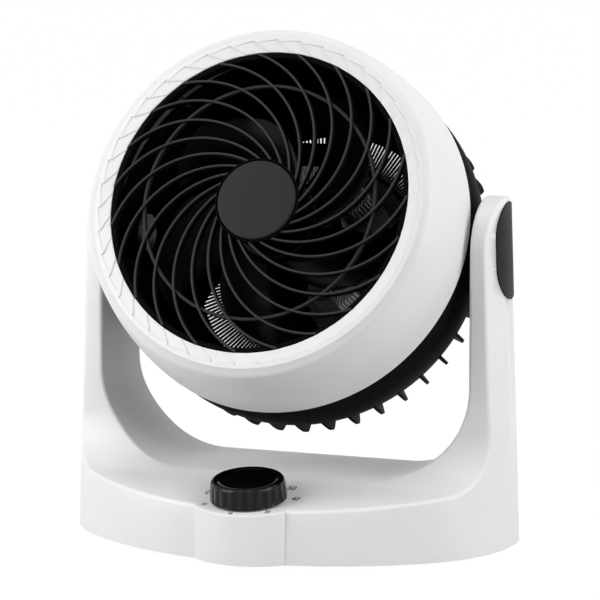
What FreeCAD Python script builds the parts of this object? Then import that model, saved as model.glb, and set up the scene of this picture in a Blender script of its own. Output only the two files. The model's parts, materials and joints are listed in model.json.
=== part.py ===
import FreeCAD, Part
import math
import os
import re
import Sketcher
from FreeCAD import Placement, Rotation, Vector

# Fan heater: a round head with fan and heating unit that tilts in a U-shaped yoke.
# Origin: on the floor, below the middle of the whole object.
# +X to the right as seen from the front, +Y to the rear, +Z up.
# The pieces are drawn about the middle of the base and then moved back by base_back.
# Lengths in millimetres, angles in degrees.

sizes = {
    # plan of the base and its walls
    "base_back": 13.05,
    "base_front_depth": 97.0,
    "base_rear_depth": 39.0,
    "base_side_radius": 78.0,
    "base_rear_radius": 36.0,
    "foot_height": 3.0,
    "wall": 2.5,
    "wall_draft": 2.0,
    # deck in front of the arms
    "deck_front_height": 33.0,
    "deck_slope": 8.5,
    "deck_blend_radius": 30.0,
    # arms and the gap between them
    "pivot_back": 3.0,
    "pivot_height": 171.5,
    "arm_radius": 30.5,
    "arm_rear_lean": 12.0,
    "arm_thickness": 20.5,
    "head_gap": 3.5,
    "gap_floor_height": 41.0,
    "gap_floor_slope": 2.5,
    "gap_corner_radius": 53.5,
    "edge_radius": 2.5,
    "sharp_angle": 11.0,
    # round bulge that carries the knob
    "bulge_inset": 17.0,
    "bulge_radius": 25.5,
    "bulge_blend_radius": 8.0,
    # clearances
    "fit_clearance": 0.15,
    "running_clearance": 0.05,
    "face_clearance": 0.3,
    # base plate, feet and screws
    "plate_thickness": 4.0,
    "foot_radius": 8.0,
    "foot_spread": 84.0,
    "foot_front": 36.0,
    "foot_rear": 22.0,
    "post_radius": 5.0,
    "post_spread": 70.0,
    "post_front": 40.0,
    "post_rear": 24.0,
    "base_screw_radius": 1.5,
    "base_screw_head_radius": 3.4,
    "base_screw_head_height": 2.0,
    "base_screw_length": 16.0,
    # pivots
    "trunnion_radius": 8.0,
    "trunnion_flange_radius": 11.0,
    "trunnion_flange_thickness": 2.5,
    "bush_wall": 2.5,
    "bush_flange_width": 3.0,
    "bush_flange_thickness": 1.5,
    "pivot_boss_radius": 16.0,
    "pivot_boss_length": 5.0,
    "washer_pocket_radius": 12.5,
    "washer_radius": 11.0,
    "washer_thickness": 1.5,
    "pivot_screw_radius": 2.5,
    "pivot_screw_head_radius": 5.0,
    "pivot_screw_head_height": 2.4,
    "pivot_screw_length": 12.0,
    "cap_radius": 20.0,
    "cap_straight": 15.0,
    "cap_depth": 2.2,
    "cap_proud": 0.6,
    # cord inlet
    "gland_height": 17.0,
    "gland_bore_radius": 3.6,
    "gland_wall": 2.4,
    "gland_flange_width": 2.5,
    "gland_flange_thickness": 2.2,
    # electrics in the base
    "tip_switch_side": 18.0,
    "tip_switch_height": 14.0,
    "tip_switch_x": 62.0,
    "terminal_length": 34.0,
    "terminal_depth": 14.0,
    "terminal_height": 12.0,
    "terminal_y": 20.0,
    # rotary switch and knob
    "switch_width": 26.0,
    "switch_height": 13.0,
    "switch_neck_radius": 4.5,
    "switch_neck_rise": 3.2,
    "spindle_radius": 3.0,
    "spindle_depth": 9.0,
    "nut_thickness": 2.4,
    "nut_radius": 7.5,
    "knob_gap": 0.8,
    "knob_radius": 21.5,
    "knob_top_radius": 20.6,
    "knob_height": 13.0,
    "knob_rim_width": 3.0,
    "knob_bevel": 1.6,
    "knob_dish_depth": 1.4,
    "knob_dish_bevel": 1.4,
    "knob_top_thickness": 1.8,
    "knob_skirt": 2.6,
    "knob_hub_radius": 6.5,
    "knob_hub_gap": 4.0,
    "flute_count": 16,
    "flute_radius": 5.5,
    "flute_depth": 1.3,
    # head: front shell
    "head_tilt": 24.0,
    "bowl_radius": 108.0,
    "seam_forward": 21.5,
    "bowl_narrowing": 5.5,
    "bowl_front": 69.0,
    "bowl_bulge_radius": 240.0,
    "bezel_edge_width": 5.5,
    "bezel_front": 77.0,
    "bezel_round": 8.0,
    "bezel_width": 9.3,
    "lip_front": 75.5,
    "lip_depth": 4.5,
    "shell_wall": 2.6,
    # front grille
    "rim_width": 3.2,
    "rim_front": 75.0,
    "rim_flange_width": 5.7,
    "rim_flange_thickness": 2.2,
    "rib_count": 23,
    "rib_width": 1.6,
    "rib_front": 76.2,
    "rib_depth": 5.0,
    "rib_radius_share": 0.656,
    "rib_offset_share": 0.485,
    "rib_start_angle": 24.5,
    "rib_end_angle": 117.0,
    "support_ring_radius": 67.0,
    "support_ring_width": 1.8,
    "support_ring_depth": 3.0,
    "collar_share": 0.302,
    "collar_wall": 2.9,
    "collar_floor": 3.0,
    "collar_front": 77.0,
    "disc_gap": 0.6,
    "disc_proud": 0.8,
    # rear shell
    "rear_step": 0.8,
    "rear_wall": 2.3,
    "rear_straight_end": 5.0,
    "rear_end": 44.0,
    "bend_drop": 14.9,
    "spigot_height": 5.2,
    "spigot_thickness": 2.2,
    "spigot_clearance": 0.9,
    "spigot_ramp": 2.6,
    "fin_count": 42,
    "fin_thickness": 1.8,
    "fin_rise": 7.0,
    "fin_start": 25.0,
    "fin_peak": 36.0,
    "fin_end": 43.5,
    "trunnion_boss_radius": 14.0,
    "trunnion_boss_depth": 13.0,
    # rear guard
    "guard_thickness": 2.2,
    "guard_rim_width": 17.0,
    "guard_hub_radius": 32.0,
    "guard_ring_count": 2,
    "guard_ring_width": 2.4,
    "guard_bar_count": 72,
    "guard_bar_width": 1.3,
    # motor
    "mount_front": 33.0,
    "mount_thickness": 3.0,
    "mount_hub_radius": 31.0,
    "mount_arm_count": 4,
    "mount_arm_width": 9.0,
    "can_radius": 28.0,
    "can_length": 40.0,
    "can_wall": 1.5,
    "bearing_radius": 6.0,
    "bearing_length": 6.0,
    "shaft_radius": 3.0,
    "shaft_front": 50.0,
    "rotor_radius": 16.0,
    "stator_gap": 0.6,
    "core_length": 22.0,
    # fan
    "fan_hub_radius": 25.0,
    "fan_hub_length": 32.0,
    "fan_hub_rear": 12.0,
    "fan_hub_wall": 2.4,
    "fan_sleeve_radius": 7.0,
    "blade_count": 5,
    "blade_tip_radius": 82.0,
    "blade_tip_chord": 66.0,
    "blade_root_chord": 34.0,
    "blade_thickness": 2.0,
    "blade_tip_pitch": 26.0,
    "blade_root_pitch": 36.0,
    "blade_camber": 18.0,
    "fan_nut_radius": 6.5,
    "fan_nut_thickness": 5.0,
    # heating unit
    "carrier_radius": 48.5,
    "carrier_thickness": 2.5,
    "heater_count": 8,
    "heater_inner": 32.0,
    "heater_outer": 46.0,
    "heater_width": 14.0,
    "heater_length": 26.0,
    "cutout_radius": 5.5,
    "cutout_height": 5.5,
    # screws that join the two halves of the head
    "shell_screw_inset": 9.2,
    "shell_post_radius": 4.0,
    "shell_boss_end": 60.0,
    "shell_screw_radius": 1.5,
    "shell_screw_head_radius": 3.0,
    "shell_screw_head_height": 2.4,
    "shell_screw_length": 42.0,
    "shell_screw_count": 4,
}

# Sizes that follow from the ones above
derived = {
    "gap_half_width": "bowl_radius + head_gap",
    "base_half_width": "gap_half_width + arm_thickness",
    "bulge_reach": "base_front_depth - bulge_inset",
    "bowl_front_radius": "bowl_radius - bowl_narrowing",
    "bezel_radius": "bowl_front_radius - bezel_edge_width",
    "lip_radius": "bezel_radius - bezel_width",
    "rim_flange_radius": "lip_radius + rim_flange_width",
    "rib_radius": "lip_radius * rib_radius_share",
    "rib_offset": "lip_radius * rib_offset_share",
    "collar_radius": "lip_radius * collar_share",
    "collar_inner": "collar_radius - collar_wall",
    "disc_radius": "collar_inner - disc_gap",
    "rear_radius": "bowl_radius - rear_step",
    "rear_opening_radius": "rear_radius - bend_drop",
    "shell_screw_circle": "bowl_radius - shell_screw_inset",
}

doc = FreeCAD.newDocument("fan_heater")
sheet = doc.addObject("Spreadsheet::Sheet", "Sizes")
for row, (alias, number) in enumerate(sizes.items(), start=1):
    sheet.set(f"A{row}", alias)
    sheet.set(f"B{row}", str(number))
    sheet.setAlias(f"B{row}", alias)
doc.recompute()

pieces = []
depth_of = {}


def linked(text):
    """The same formula with each size's name pointing at its cell and each derived size written out."""
    def cell(match):
        name = match.group()
        if name in derived:
            return f"({linked(derived[name])})"
        return "Sizes." + name if name in sizes else name

    return re.sub(r"[a-z]\w*", cell, str(text))


def value(text):
    return float(sheet.evalExpression(linked(text)))


def bind(thing, prop, text):
    thing.setExpression(prop, linked(text))


def keep(thing, label):
    """Name a finished piece and move it from the base's middle to the object's origin."""
    thing.Label = label
    bind(thing, "Placement.Base.y", f"({depth_of.get(thing.Name, '0')}) + base_back")
    pieces.append(thing)
    return thing


def new_body(label):
    body = doc.addObject("PartDesign::Body", label)
    body.AllowCompound = True
    return body


def new_sketch(body, role, height="0"):
    """Sketch on one of the body's planes, moved out along its normal."""
    sketch = body.newObject("Sketcher::SketchObject", body.Name + "_sketch")
    plane = [item for item in body.Origin.OriginFeatures if item.Role == role][0]
    sketch.AttachmentSupport = [(plane, "")]
    sketch.MapMode = "FlatFace"
    bind(sketch, "AttachmentOffset.Base.z", height)
    return sketch


def add_bound(sketch, rules):
    """Add constraints together; each rule is a constraint and the formula of its value, or None."""
    numbers = sketch.addConstraint([rule for rule, text in rules])
    for number, (rule, text) in zip(numbers, rules):
        if text:
            bind(sketch, f"Constraints[{number}]", text)


def point_rules(geometry, end, x, y):
    rules = []
    for kind, text, axis in (("DistanceX", x, -2), ("DistanceY", y, -1)):
        if text == "0":
            rules.append((Sketcher.Constraint("PointOnObject", geometry, end, axis), None))
        else:
            rules.append((Sketcher.Constraint(kind, geometry, end, value(text)), text))
    return rules


def add_loop(sketch, points, arcs=None):
    """Closed outline through the points. arcs gives the radius of the side that starts at a point: as written
    where the side bends to the right on the way round, with a minus sign where it bends to the left."""
    arcs = arcs or {}
    spots = [Vector(value(x), value(y), 0) for x, y in points]
    first = sketch.GeometryCount
    count = len(points)
    sides = []
    rules = []
    for i in range(count):
        start, end = spots[i], spots[(i + 1) % count]
        if i not in arcs:
            sides.append(Part.LineSegment(start, end))
            continue
        text = arcs[i].lstrip("-")
        radius = value(text)
        half = (end - start) * 0.5
        rise = radius - max(radius ** 2 - half.Length ** 2, 0.0) ** 0.5
        outwards = Vector(-half.y, half.x, 0).normalize() * (-1 if arcs[i].startswith("-") else 1)
        sides.append(Part.Arc(start, start + half + outwards * rise, end))
        rules.append((Sketcher.Constraint("Radius", first + i, radius), text))
    sketch.addGeometry(sides)

    def end_at(i, spot):
        return 1 if sketch.getPoint(first + i, 1).distanceToPoint(spot) < 1e-6 else 2

    for i, (x, y) in enumerate(points):
        before = (i - 1) % count
        here = end_at(i, spots[i])
        joined = Sketcher.Constraint("Coincident", first + before, end_at(before, spots[i]), first + i, here)
        rules.append((joined, None))
        rules += point_rules(first + i, here, x, y)
    add_bound(sketch, rules)


def add_circle(sketch, x, y, radius):
    index = sketch.addGeometry(Part.Circle(Vector(value(x), value(y), 0), Vector(0, 0, 1), value(radius)))
    size = (Sketcher.Constraint("Radius", index, value(radius)), radius)
    add_bound(sketch, point_rules(index, 3, x, y) + [size])


def pad(body, sketch, length, symmetric=False, taper=None, kind="PartDesign::Pad"):
    feature = body.newObject(kind, body.Name + "_" + kind.split("::")[1].lower())
    feature.Profile = sketch
    bind(feature, "Length", length)
    if symmetric:
        feature.SideType = "Symmetric"
    if taper:
        bind(feature, "TaperAngle", f"-({taper})")
    doc.recompute()
    if kind == "PartDesign::Pocket" and feature.Shape.Volume >= feature.BaseFeature.Shape.Volume:
        raise RuntimeError(feature.Name + " cuts nothing")
    return feature


def revolve(body, sketch, kind="PartDesign::Revolution"):
    feature = body.newObject(kind, body.Name + "_" + kind.split("::")[1].lower())
    feature.Profile = sketch
    feature.ReferenceAxis = (sketch, ["V_Axis"])
    feature.Angle = 360
    doc.recompute()
    return feature


def repeat_around(body, feature, count):
    pattern = body.newObject("PartDesign::PolarPattern", body.Name + "_pattern")
    pattern.Originals = [feature]
    axis = [item for item in body.Origin.OriginFeatures if item.Role == "Z_Axis"][0]
    pattern.Axis = (axis, [""])
    pattern.Angle = 360
    bind(pattern, "Occurrences", count)
    body.Tip = pattern
    doc.recompute()
    return pattern


def rectangle(x_low, x_high, y_low, y_high):
    return [(x_low, y_low), (x_high, y_low), (x_high, y_high), (x_low, y_high)]


def turned(label, *outlines):
    """Body of revolution about its own Z axis; each outline is (points, arcs) in radius and height."""
    body = new_body(label)
    sketch = new_sketch(body, "XZ_Plane")
    for points, arcs in outlines:
        add_loop(sketch, points, arcs)
    revolve(body, sketch)
    return body


def disc(label, radius, low, high, bore=None):
    inner = bore or "0"
    return turned(label, (rectangle(inner, radius, low, high), None))


def block(label, width, depth, low, high):
    body = new_body(label)
    sketch = new_sketch(body, "XY_Plane", low)
    add_loop(sketch, rectangle(f"-({width}) / 2", f"({width}) / 2", f"-({depth}) / 2", f"({depth}) / 2"))
    pad(body, sketch, f"({high}) - ({low})")
    return body


def place(thing, x="0", y="0", z="0", axis=Vector(1, 0, 0), angle="0"):
    thing.Placement = Placement(Vector(0, 0, 0), Rotation(axis, value(angle)))
    for name, text in (("Base.x", x), ("Base.y", y), ("Base.z", z)):
        bind(thing, "Placement." + name, text)
    bind(thing, "Placement.Rotation.Angle", angle)
    depth_of[thing.Name] = y
    return thing


def boolean(kind, name, *things):
    result = doc.addObject("Part::" + kind, name)
    if kind == "Cut":
        result.Base, result.Tool = things
    else:
        result.Shapes = list(things)
    doc.recompute()
    return result


# Heights and lines of the base that several pieces share
deck_at = "(deck_front_height + (({0}) + base_front_depth) * tan(deck_slope))"
arm_front = "(pivot_back - arm_radius)"
far = "(base_front_depth + base_rear_depth)"
plate_top = "(foot_height + plate_thickness)"


def plan_solid(name, inset):
    """Upright solid with the plan of the base, drawn in by the inset: three arcs at the front, a rounded
    rectangle at the rear, and walls that lean in by the draft."""
    half = f"(base_half_width - ({inset}))"
    front = f"(base_front_depth - ({inset}))"
    rear = f"(base_rear_depth - ({inset}))"
    side = f"(base_side_radius - ({inset}))"
    corner = f"(base_rear_radius - ({inset}))"
    nose = f"(({half}^2 + {front}^2 - 2 * {half} * {side}) / (2 * ({front} - {side})))"
    meet_x = f"({nose} * ({half} - {side}) / ({nose} - {side}))"
    meet_y = f"(-({nose} - {front}) * {side} / ({nose} - {side}))"
    body = new_body(name)
    sketch = new_sketch(body, "XY_Plane", "foot_height")
    points = [
        (half, "0"), (meet_x, meet_y), (f"-{meet_x}", meet_y), (f"-{half}", "0"),
        (f"-{half}", f"{rear} - {corner}"), (f"-({half} - {corner})", rear),
        (f"{half} - {corner}", rear), (half, f"{rear} - {corner}"),
    ]
    add_loop(sketch, points, {0: side, 1: nose, 2: side, 4: corner, 6: corner})
    pad(body, sketch, "pivot_height + arm_radius", taper="wall_draft")
    return body


def side_solid(name, inset):
    """Side view of the yoke, drawn in by the inset: low deck, blend into the arm, round top, leaning rear."""
    blend = f"(deck_blend_radius + ({inset}))"
    front = f"({arm_front} + ({inset}))"
    centre_y = f"({arm_front} - deck_blend_radius)"
    centre_z = f"({deck_at.format(centre_y)} + deck_blend_radius / cos(deck_slope))"
    top = f"(arm_radius - ({inset}))"
    rear_y = f"(pivot_back + {top} * cos(arm_rear_lean))"
    rear_z = f"(pivot_height + {top} * sin(arm_rear_lean))"
    deck_start = f"({deck_at.format('-' + far)} - ({inset}) / cos(deck_slope))"
    body = new_body(name)
    sketch = new_sketch(body, "YZ_Plane")
    points = [
        (f"-{far}", "0"), (f"-{far}", deck_start),
        (f"{centre_y} + {blend} * sin(deck_slope)", f"{centre_z} - {blend} * cos(deck_slope)"),
        (front, centre_z), (front, "pivot_height"), (rear_y, rear_z),
        (far, f"{rear_z} - ({far} - {rear_y}) / tan(arm_rear_lean)"), (far, "0"),
    ]
    add_loop(sketch, points, {2: "-" + blend, 4: top})
    pad(body, sketch, "2 * base_half_width + 2 * wall", symmetric=True)
    return body


def gap_solid(name, outset):
    """The U between the arms, grown by the outset, with its floor falling to the rear."""
    half = f"(gap_half_width + ({outset}))"
    floor = f"(gap_floor_height - ({outset}))"
    corner = f"(gap_corner_radius + ({outset}))"
    top = "(pivot_height + 2 * arm_radius)"
    body = new_body(name)
    sketch = new_sketch(body, "XZ_Plane")
    points = [
        (f"-{half}", top), (f"-{half}", f"{floor} + {corner}"), (f"-({half} - {corner})", floor),
        (f"{half} - {corner}", floor), (half, f"{floor} + {corner}"), (half, top),
    ]
    add_loop(sketch, points, {1: "-" + corner, 3: "-" + corner})
    pad(body, sketch, f"2 * {far}", symmetric=True)
    return place(body, angle="-gap_floor_slope")


def oval_solid(name, side, clearance):
    """Upright oval bar along X at the pivot, from the arm's inside outwards, on one side of the yoke."""
    radius = f"(cap_radius + ({clearance}))"
    body = new_body(name)
    sketch = new_sketch(body, "YZ_Plane", f"{side} * gap_half_width")
    points = [
        (f"pivot_back - {radius}", "pivot_height - cap_straight / 2"),
        (f"pivot_back - {radius}", "pivot_height + cap_straight / 2"),
        ("pivot_back", f"pivot_height + cap_straight / 2 + {radius}"),
        (f"pivot_back + {radius}", "pivot_height + cap_straight / 2"),
        (f"pivot_back + {radius}", "pivot_height - cap_straight / 2"),
        ("pivot_back", f"pivot_height - cap_straight / 2 - {radius}"),
    ]
    add_loop(sketch, points, {1: radius, 2: radius, 4: radius, 5: radius})
    feature = pad(body, sketch, "base_half_width - gap_half_width + wall")
    feature.Reversed = side < 0
    doc.recompute()
    return body


def upright_pins(name, radius, low, high, spots):
    body = new_body(name)
    sketch = new_sketch(body, "XY_Plane", low)
    for x, y in spots:
        add_circle(sketch, x, y, radius)
    pad(body, sketch, f"({high}) - ({low})")
    return body


def along_x(thing, side):
    """Lay a piece turned about Z along X at the pivot, pointing out of the given arm."""
    return place(thing, "0", "pivot_back", "pivot_height", Vector(0, 1, 0), f"{side} * 90")


def on_deck(thing):
    """Stand a piece on the deck, square to it, at the knob's axis."""
    return place(thing, "0", "-bulge_reach", deck_at.format("-bulge_reach"), angle="deck_slope")


def in_rear_wall(thing):
    """Set a piece square into the leaning rear wall, pointing out, at the cord's height."""
    wall_back = "base_rear_depth - (gland_height - foot_height) * tan(wall_draft)"
    return place(thing, "0", wall_back, "gland_height", angle="wall_draft - 90")


def in_head(thing):
    """Put a piece built about the fan's axis, +Z to the front and zero at the pivot, into the tilted head."""
    return place(thing, "0", "pivot_back", "pivot_height", angle="90 - head_tilt")


corners = [(x, y) for x in ("-{0}_spread", "{0}_spread") for y in ("-{0}_front", "{0}_rear")]
foot_spots = [(x.format("foot"), y.format("foot")) for x, y in corners]
post_spots = [(x.format("post"), y.format("post")) for x, y in corners]

# Positions along the pivot axis, from the middle outwards
boss_face = "(gap_half_width - bush_flange_thickness - face_clearance)"
boss_start = f"({boss_face} - trunnion_boss_depth)"
washer_seat = "(gap_half_width + pivot_boss_length)"
washer_start = f"({washer_seat} + fit_clearance)"
bush_radius = "(trunnion_radius + running_clearance + bush_wall)"

# Yoke: outer form, hollow, then the posts and bosses inside, then the holes
bulge_spot = [("0", "-bulge_reach")]
outer_plan = boolean("MultiFuse", "outer_plan", plan_solid("plan", "0"),
                     upright_pins("bulge", "bulge_radius", "foot_height", "pivot_height", bulge_spot))


def blend_edges(shape):
    """Upright edges where the bulge leaves the front wall."""
    found = []
    for number, edge in enumerate(shape.Edges, start=1):
        middle = edge.CenterOfMass
        upright = edge.BoundBox.ZLength > edge.BoundBox.XLength + edge.BoundBox.YLength
        if upright and abs(middle.x) < value("bulge_radius") + 1 and middle.y < -value("bulge_reach"):
            found.append(number)
    return found


outer_blend = doc.addObject("Part::Fillet", "outer_blend")
outer_blend.Base = outer_plan
blend_radius = value("bulge_blend_radius")
outer_blend.Edges = [(number, blend_radius, blend_radius) for number in blend_edges(outer_plan.Shape)]
doc.recompute()
outer_side = boolean("MultiCommon", "outer_side", outer_blend, side_solid("side", "0"))
outer_sharp = boolean("Cut", "outer_sharp", outer_side, gap_solid("gap", "0"))


def sharp_edges(shape):
    """Edges above the underside where two faces meet at an angle."""
    lowest = value("2 * foot_height")
    sharp = math.radians(value("sharp_angle"))
    found = []
    for number, edge in enumerate(shape.Edges, start=1):
        middle = edge.valueAt((edge.FirstParameter + edge.LastParameter) / 2)
        faces = shape.ancestorsOfType(edge, Part.Face)
        normals = [face.normalAt(*face.Surface.parameter(middle)) for face in faces]
        if edge.BoundBox.ZMax > lowest and normals[0].getAngle(normals[-1]) > sharp:
            found.append(number)
    return found


outer_form = doc.addObject("Part::Fillet", "outer_form")
outer_form.Base = outer_sharp
edge_radius = value("edge_radius")
outer_form.Edges = [(number, edge_radius, edge_radius) for number in sharp_edges(outer_sharp.Shape)]
doc.recompute()

hollow_plan = boolean("MultiFuse", "hollow_plan", plan_solid("plan_inside", "wall"),
                      upright_pins("bulge_inside", "bulge_radius - wall", "foot_height", "pivot_height",
                                   bulge_spot))
hollow_side = boolean("MultiCommon", "hollow_side", hollow_plan, side_solid("side_inside", "wall"))
hollow_form = boolean("Cut", "hollow_form", hollow_side, gap_solid("gap_outside", "wall"))
shell_form = boolean("Cut", "shell_form", outer_form, hollow_form)

inner_posts = upright_pins("posts", "post_radius", plate_top, "pivot_height", post_spots)
inner_bosses = [along_x(disc(f"boss_{name}", "pivot_boss_radius", "gap_half_width", "base_half_width"), side)
                for name, side in (("left", -1), ("right", 1))]
inner_form = boolean("MultiFuse", "inner_form", inner_posts, *inner_bosses)
inner_kept = boolean("MultiCommon", "inner_kept", inner_form, outer_form)
yoke_solid = boolean("MultiFuse", "yoke_solid", shell_form, inner_kept)

cap_floor = plan_solid("cap_floor", "cap_depth")
cap_top = plan_solid("cap_top", "-cap_proud")
holes = [upright_pins("post_holes", "base_screw_radius + fit_clearance", "foot_height",
                      f"{plate_top} + base_screw_length", post_spots)]
for name, side in (("left", -1), ("right", 1)):
    oval = oval_solid(f"oval_hole_{name}", side, "fit_clearance")
    holes.append(boolean("Cut", f"cap_recess_{name}", oval, cap_floor))
    bore_radius = f"{bush_radius} + fit_clearance"
    bore = disc(f"bush_hole_{name}", bore_radius, "gap_half_width - wall", "base_half_width")
    holes.append(along_x(bore, side))
    pocket = disc(f"washer_pocket_{name}", "washer_pocket_radius", washer_seat, "base_half_width")
    holes.append(along_x(pocket, side))
holes.append(on_deck(disc("neck_hole", "switch_neck_radius + fit_clearance", "-3 * wall", "3 * wall")))
gland_radius = "(gland_bore_radius + gland_wall)"
gland_hole = disc("gland_hole", f"{gland_radius} + fit_clearance", "-3 * wall", "3 * wall")
holes.append(in_rear_wall(gland_hole))
yoke_holes = boolean("MultiFuse", "yoke_holes", *holes)
keep(boolean("Cut", "yoke", yoke_solid, yoke_holes), "yoke_shell")

# Oval caps over the pivots
for name, side in (("left", -1), ("right", 1)):
    oval = oval_solid(f"oval_cap_{name}", side, "0")
    cover = boolean("MultiCommon", f"cap_cover_{name}", oval, cap_top)
    keep(boolean("Cut", f"cap_{name}", cover, cap_floor), f"pivot_cap_{name}")

# Base plate with its screws and feet
plate_inset = "wall + face_clearance"
plate_slab = boolean("MultiFuse", "plate_slab", plan_solid("plate_plan", plate_inset),
                     upright_pins("plate_bulge", f"bulge_radius - ({plate_inset})", "foot_height", plate_top,
                                  bulge_spot))
plate_band = block("plate_band", "4 * base_half_width", "4 * base_half_width", "foot_height", plate_top)
plate_flat = boolean("MultiCommon", "plate_flat", plate_slab, plate_band)
plate_holes = boolean(
    "MultiFuse", "plate_holes",
    upright_pins("plate_bores", "base_screw_radius + fit_clearance", "foot_height", plate_top, post_spots),
    upright_pins("plate_sinks", "base_screw_head_radius + fit_clearance", "foot_height",
                 "foot_height + base_screw_head_height", post_spots))
keep(boolean("Cut", "plate", plate_flat, plate_holes), "base_plate")
keep(upright_pins("feet", "foot_radius", "0", "foot_height", foot_spots), "rubber_feet")
head_top = "(foot_height + base_screw_head_height)"
keep(boolean("MultiFuse", "plate_screws",
             upright_pins("screw_heads", "base_screw_head_radius", "foot_height", head_top, post_spots),
             upright_pins("screw_shanks", "base_screw_radius", head_top, f"{plate_top} + base_screw_length",
                          post_spots)), "base_screws")

# Pivots: flanged bush in the arm, pin in the head, washer and screw on the pin's end
flange_radius = f"({bush_radius} + bush_flange_width)"
bush_outline = [
    ("trunnion_radius + running_clearance", "gap_half_width - bush_flange_thickness"),
    (flange_radius, "gap_half_width - bush_flange_thickness"), (flange_radius, "gap_half_width"),
    (bush_radius, "gap_half_width"), (bush_radius, washer_seat),
    ("trunnion_radius + running_clearance", washer_seat),
]
screw_hole = "(pivot_screw_radius + running_clearance)"
screw_seat = f"({washer_start} + washer_thickness)"
trunnion_outline = [
    ("0", f"{boss_start} - trunnion_flange_thickness"),
    ("trunnion_flange_radius", f"{boss_start} - trunnion_flange_thickness"),
    ("trunnion_flange_radius", boss_start), ("trunnion_radius", boss_start),
    ("trunnion_radius", washer_start), (screw_hole, washer_start),
    (screw_hole, f"{screw_seat} - pivot_screw_length"), ("0", f"{screw_seat} - pivot_screw_length"),
]
screw_outline = [
    ("0", f"{screw_seat} - pivot_screw_length + face_clearance"),
    ("pivot_screw_radius", f"{screw_seat} - pivot_screw_length + face_clearance"),
    ("pivot_screw_radius", screw_seat), ("pivot_screw_head_radius", screw_seat),
    ("pivot_screw_head_radius", f"{screw_seat} + pivot_screw_head_height"),
    ("0", f"{screw_seat} + pivot_screw_head_height"),
]
washers = []
screws = []
for name, side in (("left", -1), ("right", 1)):
    keep(along_x(turned(f"bush_{name}", (bush_outline, None)), side), f"pivot_bush_{name}")
    keep(along_x(turned(f"pin_{name}", (trunnion_outline, None)), side), f"trunnion_{name}")
    washer = disc(f"washer_{name}", "washer_radius", washer_start, screw_seat, screw_hole)
    washers.append(along_x(washer, side))
    screws.append(along_x(turned(f"screw_{name}", (screw_outline, None)), side))
keep(boolean("MultiFuse", "washers", *washers), "pivot_washers")
keep(boolean("MultiFuse", "screws", *screws), "pivot_screws")

# Cord inlet: a bush with a flange on each face of the rear wall
gland_flange = f"({gland_radius} + gland_flange_width)"
gland_outline = [
    ("gland_bore_radius", "-wall - gland_flange_thickness"), (gland_flange, "-wall - gland_flange_thickness"),
    (gland_flange, "-wall - face_clearance"), (gland_radius, "-wall - face_clearance"), (gland_radius, "0"),
    (gland_flange, "0"), (gland_flange, "gland_flange_thickness"),
    ("gland_bore_radius", "gland_flange_thickness"),
]
keep(in_rear_wall(turned("gland", (gland_outline, None))), "cord_gland")

# Tip-over switch and terminal block stand on the base plate
tip_switch_top = f"{plate_top} + tip_switch_height"
tip_switch = block("tip_switch", "tip_switch_side", "tip_switch_side", plate_top, tip_switch_top)
keep(place(tip_switch, "tip_switch_x"), "tip_over_switch")
terminal_top = f"{plate_top} + terminal_height"
terminals = block("terminals", "terminal_length", "terminal_depth", plate_top, terminal_top)
keep(place(terminals, "0", "terminal_y"), "terminal_block")

# Rotary switch under the deck, its nut above it, the spindle and the knob
switch_box = block("switch_box", "switch_width", "switch_width", "-wall - switch_height", "-wall")
switch_neck = disc("switch_neck", "switch_neck_radius", "-wall", "switch_neck_rise")
switch_bore = disc("switch_bore", "spindle_radius + running_clearance", "-wall - spindle_depth",
                   "2 * switch_neck_rise")
switch_solid = boolean("MultiFuse", "switch_solid", switch_box, switch_neck)
keep(on_deck(boolean("Cut", "switch", switch_solid, switch_bore)), "selector_switch")

nut_body = new_body("nut")
nut_sketch = new_sketch(nut_body, "XY_Plane")
nut_corners = [(f"nut_radius * cos({60 * i})", f"nut_radius * sin({60 * i})") for i in range(6)]
add_loop(nut_sketch, nut_corners)
add_circle(nut_sketch, "0", "0", "switch_neck_radius + running_clearance")
pad(nut_body, nut_sketch, "nut_thickness")
keep(on_deck(nut_body), "switch_nut")

spindle_top = "(knob_gap + knob_height - knob_dish_depth - knob_top_thickness)"
spindle = disc("spindle", "spindle_radius", "-wall - spindle_depth + face_clearance", spindle_top)
keep(on_deck(spindle), "switch_spindle")

knob_top = "(knob_gap + knob_height)"
dish_radius = "(knob_top_radius - knob_bevel - knob_rim_width)"
knob_outline = [
    ("spindle_radius", "knob_hub_gap"), ("knob_hub_radius", "knob_hub_gap"), ("knob_hub_radius", spindle_top),
    ("knob_top_radius - knob_skirt", spindle_top), ("knob_radius - knob_skirt", "knob_gap"),
    ("knob_radius", "knob_gap"), ("knob_top_radius", f"{knob_top} - knob_bevel"),
    ("knob_top_radius - knob_bevel", knob_top), (dish_radius, knob_top),
    (f"{dish_radius} - knob_dish_bevel", f"{knob_top} - knob_dish_depth"),
    ("0", f"{knob_top} - knob_dish_depth"),
    ("0", spindle_top), ("spindle_radius", spindle_top),
]
knob = turned("knob", (knob_outline, None))
flute_sketch = new_sketch(knob, "XY_Plane", knob_top)
add_circle(flute_sketch, "knob_radius + flute_radius - flute_depth", "0", "flute_radius")
flute = pad(knob, flute_sketch, "knob_height", kind="PartDesign::Pocket")
repeat_around(knob, flute, "flute_count")
keep(on_deck(knob), "selector_knob")

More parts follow.
